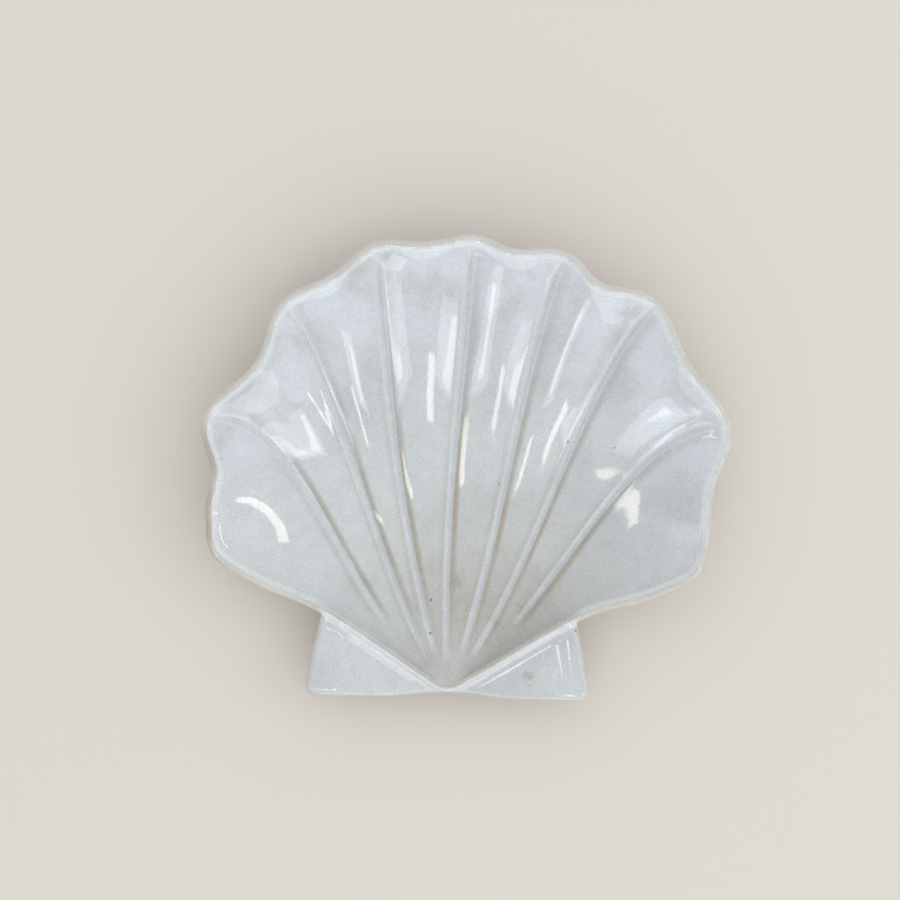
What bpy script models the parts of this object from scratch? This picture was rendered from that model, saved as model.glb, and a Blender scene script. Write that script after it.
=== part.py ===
"""Scallop shell platter: one piece of glazed stoneware, a fan-shaped bowl with a pair of hinge ears.

Units are metres. While the piece is shaped, the middle of the hinge is at x = 0, y = 0, the fan opens
towards +Y, and the table is at z = 0. At the end every body is placed so that the origin lies under the
middle of the finished piece.
"""
import math

import bmesh
import bpy
from mathutils import Vector, kdtree

# Clay and heights
WALL = 0.005                 # thickness of the fired clay
RIM_HEIGHT = 0.034           # inner edge of the lip above the table, round the fan
HINGE_HEIGHT = 0.024         # inner edge of the lip above the table, at the hinge
FOOT_HEIGHT = 0.003          # clear space under the bowl inside the foot ring

# Fan: one row for each pressed groove, from left to right
# (how far its tip stays short of REACH, bearing of the tip, bearing it leaves the hinge at, bearing it
# reaches the tip at, distance from the hinge where it dies out); lengths in metres, bearings from +Y
REACH = 0.2040               # from the hinge to the farthest tip
GROOVES = (
    (0.0400, -42.2, -55.0, -99.5, 0.0445),
    (0.0150, -24.0, -32.0, -33.5, 0.0235),
    (0.0010, -10.5, -19.5, -4.5, 0.0190),
    (0.0000, 1.6, -4.5, 1.0, 0.0155),
    (0.0005, 13.4, 19.5, 20.0, 0.0175),
    (0.0060, 26.6, 35.5, 41.0, 0.0200),
    (0.0300, 44.7, 51.5, 91.0, 0.0445),
)
HINGE_SAG = 0.0025           # how far the hinge line bows out between the two lower edges
HINGE_PULL = 0.35            # how strongly a groove keeps its first bearing, in reaches
TIP_PULL = 0.25              # how strongly a groove keeps its last bearing, in reaches

# Fan: lower edges, as points of the lip's inner edge from the hinge round to the lowest rim corner
LEFT_EDGE = ((-0.0070, 0.0050), (-0.0560, 0.0362), (-0.0860, 0.0492), (-0.1050, 0.0615), (-0.1078, 0.0780))
RIGHT_EDGE = ((0.0070, 0.0050), (0.0590, 0.0365), (0.0890, 0.0465), (0.1105, 0.0580), (0.1138, 0.0760))

# Fan: folds between neighbouring grooves, eight panels from left to right
DIPS = (0.006, 0.009, 0.005, 0.004, 0.005, 0.008, 0.006, 0.0055)  # how far the rim dips in at each panel
DIP_SPREAD = 1.6             # how fast a dip dies out down the wall
PANEL_CROWN = 0.0024         # how far each panel swells up between its grooves, at the rim
CROWN_SPREAD = 1.5           # how fast that swelling dies out towards the hinge
PANEL_FULLNESS = 2.2         # how full a panel's inside is: 2 is a parabola, and more is flatter on top
GROOVE_WIDTH = 0.0030
GROOVE_DEPTH = 0.0010
NARROWEST_PANEL = 0.25       # most of a panel that one side of a groove may take
RUNOUT_LENGTH = 0.008        # length over which a groove fades in
LIP_FADE = 0.010             # length over which a groove fades out below the lip

# Bowl: where each wall starts to rise, as a share of the way along it, and how late it steepens
RIM_WALL_START = 0.30
RIM_WALL_POWER = 2.1
HINGE_WALL_END = 0.42
HINGE_WALL_POWER = 2.3
SIDE_WALL_PANELS = 1.7       # width of the side walls, in panels
SIDE_WALL_POWER = 2.2
EDGE_DROP = 0.004            # least depth that the wall falls just inside the lip
EDGE_RUN = 0.007             # how soon it gets there
EDGE_BLEND = 3.0             # how tightly that edge follows the deeper of the two shapes

# Lip
LIP_TILT = 38.0              # degrees that the lip leans outwards
LIP_TILT_REACH = 0.010       # width of the band below the lip that turns towards that lean

# Hinge ears: one plate that the bowl is pressed into
EAR_STEP = 0.0028            # drop from the bowl's lip to the ears
EAR_THICKNESS = 0.0055
EAR_HALF_WIDTH = 0.0655      # at the front
EAR_NECK_HALF_WIDTH = 0.0585  # where the plate runs under the fan
EAR_FRONT = 0.0048           # how far the ears reach past the middle of the hinge
EAR_FRONT_MIDDLE = 0.0020    # the same at the middle, where the front edge bows in
EAR_BACK = 0.0340            # how far the plate runs up under the fan
EAR_CORNER = 0.0060          # radius of the two front corners
EAR_LIFT = 0.0020            # rise of each ear towards its outer side
EAR_CURL = 0.0012            # extra rise along the outer side
EAR_CURL_START = 0.8         # where that begins, as a share of the way out

# Foot ring
FOOT_CENTRE = (0.002, 0.104)
FOOT_HALF_LENGTH = 0.052
FOOT_HALF_DEPTH = 0.042
FOOT_RING_WIDTH = 0.007
FOOT_CHAMFER = 0.0008
FOOT_ARRIS_TURN = 50.0       # degrees a face turns by at an edge that is chamfered

# Fineness of the surface
PANEL_STEPS = 5
ROWS = 22
LIP_STEPS = 4
EAR_COLUMNS = 24
EAR_ROWS = 6
EAR_EDGE_STEPS = 3
FOOT_STEPS = 48
BORDER_STEPS = 160
SLOPE_STEP = 0.002           # step for measuring the surface's slope
WELD = 1e-6

# Glaze, as linear colour
GLAZE_COLOUR = (0.584, 0.617, 0.624, 1.0)
GLAZE_ROUGHNESS = 0.12

FLOOR = FOOT_HEIGHT + WALL
PANELS = len(GROOVES) + 1


def heading(degrees):
    """Unit vector in plan at a bearing from +Y, positive towards +X."""
    angle = math.radians(degrees)
    return Vector((math.sin(angle), math.cos(angle)))


def smooth(value):
    """Ease from 0 to 1 as value goes from 0 to 1."""
    value = min(1.0, max(0.0, value))
    return value * value * (3.0 - 2.0 * value)


def blend(before, start, end, after, share):
    """Smooth curve through evenly numbered points, between start and end."""
    leave = (end - before) / 2
    arrive = (after - start) / 2
    square = share * share
    cube = square * share
    return (
        start * (2 * cube - 3 * square + 1)
        + leave * (cube - 2 * square + share)
        + end * (3 * square - 2 * cube)
        + arrive * (cube - square)
    )


def through(points, share):
    """Point at a share of the way along a smooth curve through the points."""
    place = min(max(share, 0.0), 1.0) * (len(points) - 1)
    index = min(int(place), len(points) - 2)
    padded = [points[0] * 2 - points[1], *points, points[-1] * 2 - points[-2]]
    return blend(*padded[index : index + 4], place - index)


def hinge_start(index):
    """Point of the hinge line where guide line number `index` begins."""
    left = Vector(LEFT_EDGE[0])
    right = Vector(RIGHT_EDGE[0])
    share = index / PANELS
    return left.lerp(right, share) - Vector((0.0, 4 * share * (1 - share) * HINGE_SAG))


def groove_point(index, share):
    """Plan position along a groove's middle line."""
    shortfall, bearing, leaving, arriving, _ = GROOVES[index - 1]
    start = hinge_start(index)
    tip = heading(bearing) * (REACH - shortfall)
    length = (tip - start).length
    near = start + heading(leaving) * length * HINGE_PULL
    far = tip - heading(arriving) * length * TIP_PULL
    rest = 1.0 - share
    return (
        start * rest**3
        + near * 3 * rest**2 * share
        + far * 3 * rest * share**2
        + tip * share**3
    )


def guide_point(index, share):
    """Plan position on one of the nine guide lines: left edge, seven grooves, right edge."""
    if index < 0:
        return guide_point(0, share) * 2 - guide_point(1, share)
    if index > PANELS:
        return guide_point(PANELS, share) * 2 - guide_point(PANELS - 1, share)
    if index == 0:
        return through([Vector(point) for point in LEFT_EDGE], share)
    if index == PANELS:
        return through([Vector(point) for point in RIGHT_EDGE], share)
    return groove_point(index, share)


def fan_point(across, along):
    """Plan position before the rim dips: `across` counts guide lines, `along` runs from hinge to rim."""
    index = min(int(across), PANELS - 1)
    guides = [guide_point(index + step, along) for step in (-1, 0, 1, 2)]
    return blend(*guides, across - index)


def plan_point(across, along):
    """Plan position with each panel's dip drawn in towards the hinge."""
    index = min(int(across), PANELS - 1)
    swell = (1 - math.cos(2 * math.pi * (across - index))) / 2
    middle = index + 0.5
    outward = (fan_point(middle, 1.0) - fan_point(middle, 1.0 - SLOPE_STEP)).normalized()
    return fan_point(across, along) - outward * DIPS[index] * swell * along**DIP_SPREAD


class Border:
    """The closed line round the fan in plan, for finding how far inside it a place is."""

    def __init__(self):
        steps = [step / BORDER_STEPS for step in range(BORDER_STEPS)]
        self.points = [plan_point(share * PANELS, 0.0) for share in steps]
        self.points += [plan_point(PANELS, share) for share in steps]
        self.points += [plan_point((1 - share) * PANELS, 1.0) for share in steps]
        self.points += [plan_point(0.0, 1 - share) for share in steps]
        self.tree = kdtree.KDTree(len(self.points))
        for index, point in enumerate(self.points):
            self.tree.insert((*point, 0.0), index)
        self.tree.balance()

    def inward(self, index):
        """Unit direction square to the border at one of its points, pointing into the fan."""
        ahead = self.points[(index + 1) % len(self.points)]
        behind = self.points[index - 1]
        along_border = (ahead - behind).normalized()
        return Vector((-along_border.y, along_border.x))

    def nearest(self, place):
        """Distance from a plan position to the border, and the inward direction there."""
        _, index, _ = self.tree.find((*place, 0.0))
        inward = self.inward(index)
        along_border = Vector((inward.y, -inward.x))
        from_point = place - self.points[index]
        shift = from_point.dot(along_border)
        other = (index + (1 if shift > 0 else -1)) % len(self.points)
        length = (self.points[other] - self.points[index]).length
        share = min(1.0, abs(shift) / length)
        inward = inward.lerp(self.inward(other), share).normalized()
        return max(0.0, from_point.dot(inward)), inward


def swelling(across, along):
    """Height that a panel's rounded fold adds: nothing on a guide line, and most in the middle of a panel."""
    return PANEL_CROWN * along**CROWN_SPREAD * (1 - math.cos(2 * math.pi * across)) / 2


def crest_height(across, along):
    """Height that the wall would reach at the lip: lower at the hinge, and higher where a panel swells."""
    return HINGE_HEIGHT + (RIM_HEIGHT - HINGE_HEIGHT) * smooth(along) + swelling(across, along)


def wall_share(across, along):
    """How far up the wall a place is: 0 on the flat floor and 1 at the lip, rising all round."""
    rim = max(0.0, (along - RIM_WALL_START) / (1 - RIM_WALL_START)) ** RIM_WALL_POWER
    hinge = max(0.0, 1 - along / HINGE_WALL_END) ** HINGE_WALL_POWER
    from_side = min(across, PANELS - across) / SIDE_WALL_PANELS
    side = max(0.0, 1 - from_side) ** SIDE_WALL_POWER
    return 1 - (1 - rim) * (1 - hinge) * (1 - side)


def smooth_point(border, across, along):
    """The bowl's surface with rounded folds and no grooves, as the outside follows it."""
    plan = plan_point(across, along)
    crest = crest_height(across, along)
    rise = wall_share(across, along)
    height = FLOOR + (crest - FLOOR) * rise + swelling(across, along) * (1 - rise)
    distance, _ = border.nearest(plan)
    least = EDGE_DROP * (1 - math.exp(-distance / EDGE_RUN))
    drop = (max(0.0, crest - height) ** EDGE_BLEND + least**EDGE_BLEND) ** (1 / EDGE_BLEND)
    return Vector((*plan, crest - drop))


def surface_normal(border, across, along):
    """Unit normal of the smooth surface, pointing up into the bowl; at the lip it takes the lip's lean."""
    left = smooth_point(border, max(0.0, across - SLOPE_STEP), along)
    right = smooth_point(border, min(float(PANELS), across + SLOPE_STEP), along)
    near = smooth_point(border, across, max(0.0, along - SLOPE_STEP))
    far = smooth_point(border, across, min(1.0, along + SLOPE_STEP))
    normal = (right - left).cross(far - near).normalized()
    distance, inward = border.nearest(plan_point(across, along))
    tilt = math.radians(LIP_TILT)
    lean = Vector((*(inward * math.sin(tilt)), math.cos(tilt)))
    return lean.lerp(normal, smooth(distance / LIP_TILT_REACH)).normalized()


def inner_point(border, across, along):
    """The glazed inside: full panels that meet in a crease, with a groove pressed along each crease."""
    point = smooth_point(border, across, along)
    place = across - min(int(across), PANELS - 1)
    full = PANEL_CROWN * along**CROWN_SPREAD * (1 - abs(2 * place - 1) ** PANEL_FULLNESS)
    edge = smooth(border.nearest(point.xy)[0] / LIP_FADE)
    point.z += (full - swelling(across, along)) * edge
    index = round(across)
    if 0 < index < PANELS:
        runout = GROOVES[index - 1][-1]
        sideways = (point.xy - plan_point(index, along)).length
        section = smooth(1 - sideways / (GROOVE_WIDTH / 2))
        fade_in = smooth((point.xy.length - runout) / RUNOUT_LENGTH)
        point.z -= GROOVE_DEPTH * section * fade_in * edge
    return point


def offset_point(border, across, along, depth):
    """Point inside or under the wall, `depth` below the smooth surface."""
    return smooth_point(border, across, along) - surface_normal(border, across, along) * depth


def column_list():
    """Columns of the grid as (panel, share of the way between its grooves); -1 marks a groove's middle."""
    columns = []
    for panel in range(PANELS):
        if panel > 0:
            columns.append((panel, -1.0))
        columns.extend((panel, step / PANEL_STEPS) for step in range(PANEL_STEPS + 1))
    return columns


def column_place(column, along):
    """Place of a grid column across the fan, at one row."""
    panel, share = column
    if share < 0:
        return float(panel)
    width = (guide_point(panel + 1, along) - guide_point(panel, along)).length
    groove = min(GROOVE_WIDTH / 2 / width, NARROWEST_PANEL)
    low = groove if panel > 0 else 0.0
    high = groove if panel < PANELS - 1 else 0.0
    return panel + low + (1 - low - high) * share


def fan_grid(mesh):
    """A flat grid, with each vertex's place across and along the fan."""
    columns = column_list()
    made = bmesh.ops.create_grid(mesh, x_segments=len(columns) - 1, y_segments=ROWS, size=1.0)
    places = {}
    for vertex in made["verts"]:
        column = columns[round((vertex.co.x + 1) / 2 * (len(columns) - 1))]
        along = (vertex.co.y + 1) / 2
        places[vertex] = (column_place(column, along), along)
    return places


def outer_copy(mesh, places):
    """A second sheet over the same places, with its own vertices."""
    made = bmesh.ops.duplicate(mesh, geom=[*mesh.verts, *mesh.edges, *mesh.faces])
    return {made["vert_map"][vertex]: place for vertex, place in places.items()}


def border_edges(vertices):
    """Border edges of the sheet that these vertices make."""
    return [edge for edge in {e for v in vertices for e in v.link_edges} if edge.is_boundary]


def round_edge(upper, under, outward, turn):
    """Point of the half-round edge of a wall, at a turn from its upper side (0) to its under side (1)."""
    across_wall = (upper - under) / 2
    outward = outward - across_wall * outward.dot(across_wall) / across_wall.length_squared
    angle = math.pi * turn
    bulge = outward.normalized() * across_wall.length * math.sin(angle)
    return (upper + under) / 2 + across_wall * math.cos(angle) + bulge


def roll_edge(mesh, places, edge_point, steps):
    """Carries the upper sheet's border round the edge, ring by ring, to the under sheet's border."""
    ring = border_edges(places)
    ring_places = {vertex: places[vertex] for edge in ring for vertex in edge.verts}
    for step in range(1, steps + 1):
        made = bmesh.ops.extrude_edge_only(mesh, edges=ring)["geom"]
        fresh = {item for item in made if isinstance(item, bmesh.types.BMVert)}
        ring = [item for item in made if isinstance(item, bmesh.types.BMEdge) and set(item.verts) <= fresh]
        fresh_places = {}
        for vertex in fresh:
            source = next(e.other_vert(vertex) for e in vertex.link_edges if e.other_vert(vertex) in ring_places)
            fresh_places[vertex] = ring_places[source]
        for vertex, place in fresh_places.items():
            vertex.co = edge_point(*place, step / steps)
        ring_places = fresh_places
    bmesh.ops.remove_doubles(mesh, verts=mesh.verts, dist=WELD)


def finished_object(mesh, name, collection):
    """Closes the mesh's normals and puts it in the scene, shaded smooth."""
    bmesh.ops.recalc_face_normals(mesh, faces=mesh.faces)
    data = bpy.data.meshes.new(name)
    mesh.to_mesh(data)
    mesh.free()
    data.shade_smooth()
    made = bpy.data.objects.new(name, data)
    collection.objects.link(made)
    return made


def make_bowl(name, border, collection):
    """The fan-shaped bowl: inside sheet, outside sheet and the half-round lip between them."""

    def lip_point(across, along, turn):
        outward = -border.nearest(plan_point(across, along))[1]
        upper = inner_point(border, across, along)
        under = offset_point(border, across, along, WALL)
        return round_edge(upper, under, outward.to_3d(), turn)

    mesh = bmesh.new()
    places = fan_grid(mesh)
    outside = outer_copy(mesh, places)
    for vertex, place in places.items():
        vertex.co = inner_point(border, *place)
    for vertex, place in outside.items():
        vertex.co = offset_point(border, *place, WALL)
    roll_edge(mesh, places, lip_point, LIP_STEPS)
    return finished_object(mesh, name, collection)


def make_bowl_space(border, collection):
    """The space over the middle of the bowl's wall, up past the rim, which clears the ears and the foot."""
    mesh = bmesh.new()
    places = fan_grid(mesh)
    lid = outer_copy(mesh, places)
    for vertex, place in places.items():
        vertex.co = offset_point(border, *place, WALL / 2)
    for vertex, place in lid.items():
        vertex.co = Vector((*offset_point(border, *place, WALL / 2).xy, RIM_HEIGHT + WALL))
    bmesh.ops.bridge_loops(mesh, edges=border_edges([*places, *lid]))
    return finished_object(mesh, "bowl_space", collection)


def ear_surface(across, back):
    """Top of the ears: across runs from 0 at the left to 1 at the right, back from the front edge to the fan."""
    side = math.sin(math.pi * (across - 0.5))
    edge = EAR_THICKNESS / 2
    half = EAR_HALF_WIDTH - edge
    front = EAR_FRONT_MIDDLE + (EAR_FRONT - EAR_FRONT_MIDDLE) * smooth(2 * abs(side)) - edge
    corner = EAR_CORNER - edge
    past = max(0.0, abs(side) * half - (half - corner))
    front -= corner - math.sqrt(max(0.0, corner**2 - past**2))
    neck = EAR_NECK_HALF_WIDTH - edge
    height = HINGE_HEIGHT - EAR_STEP + EAR_LIFT * abs(side)
    height += EAR_CURL * smooth((abs(side) - EAR_CURL_START) / (1 - EAR_CURL_START))
    return Vector((side * (half + (neck - half) * back), -front + (EAR_BACK + front) * back, height))


def ear_underside(across, back):
    """Underside of the ears, straight below their top."""
    return ear_surface(across, back) - Vector((0.0, 0.0, EAR_THICKNESS))


def ear_outward(across, back):
    """Level direction out of the ears' border; a corner takes the mean of its two sides."""
    right = ear_surface(min(across + SLOPE_STEP, 1.0), back)
    left = ear_surface(max(across - SLOPE_STEP, 0.0), back)
    far = ear_surface(across, min(back + SLOPE_STEP, 1.0))
    near = ear_surface(across, max(back - SLOPE_STEP, 0.0))
    run = Vector()
    if back < WELD:
        run += (right - left).normalized()
    if back > 1 - WELD:
        run += (left - right).normalized()
    if across < WELD:
        run += (near - far).normalized()
    if across > 1 - WELD:
        run += (far - near).normalized()
    return Vector((run.y, -run.x, 0.0))


def ear_edge_point(across, back, turn):
    """Point of the ears' half-round edge."""
    return round_edge(ear_surface(across, back), ear_underside(across, back), ear_outward(across, back), turn)


def make_ears(collection, bowl_space):
    """The ear plate, with round front corners and a round edge, cleared out of the bowl."""
    mesh = bmesh.new()
    made = bmesh.ops.create_grid(mesh, x_segments=EAR_COLUMNS, y_segments=EAR_ROWS, size=1.0)
    places = {vertex: ((vertex.co.x + 1) / 2, (vertex.co.y + 1) / 2) for vertex in made["verts"]}
    underside = outer_copy(mesh, places)
    for vertex, place in places.items():
        vertex.co = ear_surface(*place)
    for vertex, place in underside.items():
        vertex.co = ear_underside(*place)
    roll_edge(mesh, places, ear_edge_point, EAR_EDGE_STEPS)
    ears = finished_object(mesh, "hinge_ears", collection)
    cut(ears, bowl_space)
    return ears


def ellipse_loop(mesh, half_length, half_depth):
    """A flat ellipse of edges on the table, round the foot's centre."""
    made = bmesh.ops.create_circle(mesh, segments=FOOT_STEPS, radius=1.0)
    bmesh.ops.scale(mesh, verts=made["verts"], vec=(half_length, half_depth, 1.0))
    bmesh.ops.translate(mesh, verts=made["verts"], vec=(*FOOT_CENTRE, 0.0))
    return made["verts"]


def make_foot(collection, bowl_space):
    """The foot ring, standing up from the table into the bowl's wall."""
    mesh = bmesh.new()
    ellipse_loop(mesh, FOOT_HALF_LENGTH, FOOT_HALF_DEPTH)
    ellipse_loop(mesh, FOOT_HALF_LENGTH - FOOT_RING_WIDTH, FOOT_HALF_DEPTH - FOOT_RING_WIDTH)
    bottom = bmesh.ops.bridge_loops(mesh, edges=mesh.edges)["faces"]
    made = bmesh.ops.extrude_face_region(mesh, geom=bottom, use_keep_orig=True)["geom"]
    top = [item for item in made if isinstance(item, bmesh.types.BMVert)]
    bmesh.ops.translate(mesh, verts=top, vec=(0.0, 0.0, RIM_HEIGHT))
    bmesh.ops.recalc_face_normals(mesh, faces=mesh.faces)
    arrises = [
        edge for edge in mesh.edges
        if max(v.co.z for v in edge.verts) < WELD and math.degrees(edge.calc_face_angle()) > FOOT_ARRIS_TURN
    ]
    bmesh.ops.bevel(
        mesh, geom=arrises, offset=FOOT_CHAMFER, segments=1, profile=0.5,
        affect="EDGES", clamp_overlap=False, material=-1,
    )
    foot = finished_object(mesh, "foot_ring", collection)
    cut(foot, bowl_space)
    return foot


def cut(target, cutter):
    """Takes the cutter's space out of the target."""
    modifier = target.modifiers.new("clear " + cutter.name, "BOOLEAN")
    modifier.operation = "DIFFERENCE"
    modifier.object = cutter


def join(target, addition):
    """Makes the addition part of the target's one body."""
    modifier = target.modifiers.new("join " + addition.name, "BOOLEAN")
    modifier.operation = "UNION"
    modifier.object = addition


def make_glaze():
    """Pale, cool white gloss glaze."""
    glaze = bpy.data.materials.new("pale_gloss_glaze")
    glaze.use_nodes = True
    shader = glaze.node_tree.nodes["Principled BSDF"]
    shader.inputs["Base Color"].default_value = GLAZE_COLOUR
    shader.inputs["Roughness"].default_value = GLAZE_ROUGHNESS
    shader.inputs["Metallic"].default_value = 0.0
    glaze.diffuse_color = GLAZE_COLOUR
    return glaze


def middle_of(objects):
    """Middle of the box round the objects, in plan."""
    corners = [vertex.co for item in objects for vertex in item.data.vertices]
    return Vector((
        (min(c.x for c in corners) + max(c.x for c in corners)) / 2,
        (min(c.y for c in corners) + max(c.y for c in corners)) / 2,
        0.0,
    ))


def main():
    for item in list(bpy.data.objects):
        bpy.data.objects.remove(item, do_unlink=True)
    parts = bpy.data.collections.new("shell_platter")
    helpers = bpy.data.collections.new("construction")
    bpy.context.scene.collection.children.link(parts)
    bpy.context.scene.collection.children.link(helpers)

    border = Border()
    platter = make_bowl("shell_platter", border, parts)
    bowl_space = make_bowl_space(border, helpers)
    ears = make_ears(helpers, bowl_space)
    foot = make_foot(helpers, bowl_space)
    join(platter, ears)
    join(platter, foot)
    platter.data.materials.append(make_glaze())

    middle = middle_of([platter, ears])
    for item in (platter, bowl_space, ears, foot):
        item.location = -middle
    for helper in (bowl_space, ears, foot):
        helper.hide_render = True
        helper.display_type = "WIRE"


main()
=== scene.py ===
# %% [markdown]
# # A scallop shell platter in glazed stoneware
# The platter is one piece of pressed clay: a fan-shaped bowl with seven grooves, two hinge ears and a foot ring,
# all under one pale, glossy glaze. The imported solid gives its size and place. This lesson builds a finer skin
# over the same shape, works out where the glaze runs thick and thin, and sets up a plain studio round it.

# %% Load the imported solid
import math

import bmesh
import bpy
import numpy as np
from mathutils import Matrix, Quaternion, Vector, kdtree, noise


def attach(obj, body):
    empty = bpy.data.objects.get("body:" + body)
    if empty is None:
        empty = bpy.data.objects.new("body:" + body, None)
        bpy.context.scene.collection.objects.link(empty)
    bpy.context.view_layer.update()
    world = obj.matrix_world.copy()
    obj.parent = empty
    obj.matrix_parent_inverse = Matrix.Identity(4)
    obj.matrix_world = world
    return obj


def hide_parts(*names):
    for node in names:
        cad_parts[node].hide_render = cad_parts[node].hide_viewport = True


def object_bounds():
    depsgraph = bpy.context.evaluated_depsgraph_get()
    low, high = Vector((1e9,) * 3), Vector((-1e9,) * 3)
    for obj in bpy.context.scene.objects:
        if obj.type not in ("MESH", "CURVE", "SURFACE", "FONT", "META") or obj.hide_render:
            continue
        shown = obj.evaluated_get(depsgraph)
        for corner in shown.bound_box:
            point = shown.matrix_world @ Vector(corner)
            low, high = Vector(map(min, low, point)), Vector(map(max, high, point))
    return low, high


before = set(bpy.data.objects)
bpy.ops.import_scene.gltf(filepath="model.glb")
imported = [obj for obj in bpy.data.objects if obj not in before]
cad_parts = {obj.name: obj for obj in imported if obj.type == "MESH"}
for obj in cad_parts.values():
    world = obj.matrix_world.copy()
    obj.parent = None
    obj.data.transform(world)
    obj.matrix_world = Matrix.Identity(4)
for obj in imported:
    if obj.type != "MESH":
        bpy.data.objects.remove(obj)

cad_low, cad_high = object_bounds()
MM = 0.001
print("packed solid:", [round(side / MM, 1) for side in cad_high - cad_low], "mm")

# %% [markdown]
# ## The fan in plan
# A pressed shell is laid out like a hand of cards: every groove is a curve that leaves the hinge at one bearing
# and reaches its tip on the rim at another. A cubic curve needs just those two bearings and two lengths, so
# each groove is one row of five numbers. The two lower edges of the fan are smooth curves through five points.

# %% Grooves and lower edges
# how far the tip stays short of REACH, its bearing, bearing at the hinge, bearing at the tip, and how far
# from the hinge the groove dies out
REACH = 0.2040
GROOVES = np.array((
    (0.0400, -42.2, -55.0, -99.5, 0.0445),
    (0.0150, -24.0, -32.0, -33.5, 0.0235),
    (0.0010, -10.5, -19.5, -4.5, 0.0190),
    (0.0000, 1.6, -4.5, 1.0, 0.0155),
    (0.0005, 13.4, 19.5, 20.0, 0.0175),
    (0.0060, 26.6, 35.5, 41.0, 0.0200),
    (0.0300, 44.7, 51.5, 91.0, 0.0445),
))
SHORTFALL, TIP_BEARING, LEAVING, ARRIVING, RUNOUT = GROOVES.T
HINGE_SAG = 0.0025
HINGE_PULL = 0.35
TIP_PULL = 0.25
LEFT_EDGE = ((-0.0070, 0.0050), (-0.0560, 0.0362), (-0.0860, 0.0492), (-0.1050, 0.0615), (-0.1078, 0.0780))
RIGHT_EDGE = ((0.0070, 0.0050), (0.0590, 0.0365), (0.0890, 0.0465), (0.1105, 0.0580), (0.1138, 0.0760))
PANELS = len(GROOVES) + 1


def heading(degrees):
    """Unit vector in plan at a bearing from +Y."""
    angle = np.radians(degrees)
    return np.stack([np.sin(angle), np.cos(angle)], axis=-1)


def blend(before, start, end, after, share):
    """Smooth curve through evenly numbered points, between start and end."""
    share = share[:, None]
    leave = (end - before) / 2
    arrive = (after - start) / 2
    square = share**2
    cube = share**3
    return (
        start * (2 * cube - 3 * square + 1)
        + leave * (cube - 2 * square + share)
        + end * (3 * square - 2 * cube)
        + arrive * (cube - square)
    )


def edge_line(points, along):
    """A lower edge of the fan, at shares of the way from the hinge to the rim."""
    points = np.array(points)
    padded = np.vstack([2 * points[0] - points[1], points, 2 * points[-1] - points[-2]])
    place = np.clip(along, 0, 1) * (len(points) - 1)
    index = np.minimum(place.astype(int), len(points) - 2)
    return blend(*(padded[index + step] for step in range(4)), place - index)


def groove_line(index, along):
    """The middle line of a groove."""
    share = (index + 1) / PANELS
    start = np.array(LEFT_EDGE[0]) * (1 - share) + np.array(RIGHT_EDGE[0]) * share
    start[1] -= 4 * share * (1 - share) * HINGE_SAG
    tip = heading(TIP_BEARING[index]) * (REACH - SHORTFALL[index])
    length = np.linalg.norm(tip - start)
    near = start + heading(LEAVING[index]) * length * HINGE_PULL
    far = tip - heading(ARRIVING[index]) * length * TIP_PULL
    along = along[:, None]
    rest = 1 - along
    return start * rest**3 + near * 3 * rest**2 * along + far * 3 * rest * along**2 + tip * along**3


def guide_lines(along):
    """Left edge, grooves and right edge, with one more line past each side for the blending."""
    lines = [edge_line(LEFT_EDGE, along)]
    lines += [groove_line(index, along) for index in range(len(GROOVES))]
    lines += [edge_line(RIGHT_EDGE, along)]
    return np.array([2 * lines[0] - lines[1], *lines, 2 * lines[-1] - lines[-2]])


# %% [markdown]
# Between two tips the rim dips in. `across` counts the guide lines from 0 at the left edge to 8 at the right,
# and `along` runs from the hinge to the rim, so any place on the shell has two simple coordinates.

# %% Places on the fan
DIPS = np.array((0.006, 0.009, 0.005, 0.004, 0.005, 0.008, 0.006, 0.0055))
DIP_SPREAD = 1.6
SLOPE_STEP = 0.002


def unit(vectors):
    """The same directions, one long."""
    return vectors / np.linalg.norm(vectors, axis=-1, keepdims=True)


def swelling(across):
    """0 on a guide line and 1 half way to the next one."""
    return (1 - np.cos(2 * np.pi * across)) / 2


def fan_place(across, along):
    """Plan position before the rim dips."""
    guides = guide_lines(along)
    index = np.minimum(across.astype(int), PANELS - 1)
    each = np.arange(len(along))
    return blend(*(guides[index + step, each] for step in range(4)), across - index)


middles = np.arange(PANELS) + 0.5
whole = np.ones(PANELS)
PANEL_OUTWARD = unit(fan_place(middles, whole) - fan_place(middles, whole - SLOPE_STEP))


def plan_place(across, along):
    """Plan position with each panel's dip drawn in towards the hinge."""
    index = np.minimum(across.astype(int), PANELS - 1)
    drawn = DIPS[index] * swelling(across) * along**DIP_SPREAD
    return fan_place(across, along) - PANEL_OUTWARD[index] * drawn[:, None]


# %% Distance from the rim
BORDER_STEPS = 400


def tree_of(places):
    """For finding the nearest of many places."""
    made = kdtree.KDTree(len(places))
    for number, place in enumerate(places):
        made.insert(place, number)
    made.balance()
    return made


steps = np.arange(BORDER_STEPS) / BORDER_STEPS
start, end = np.zeros(BORDER_STEPS), np.ones(BORDER_STEPS)
BORDER = np.vstack([
    plan_place(steps * PANELS, start),
    plan_place(end * PANELS, steps),
    plan_place((1 - steps) * PANELS, end),
    plan_place(start, 1 - steps),
])
border_run = unit(np.roll(BORDER, -1, axis=0) - np.roll(BORDER, 1, axis=0))
BORDER_INWARD = np.stack([-border_run[:, 1], border_run[:, 0]], axis=-1)
border_tree = tree_of([(*point, 0) for point in BORDER])


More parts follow.
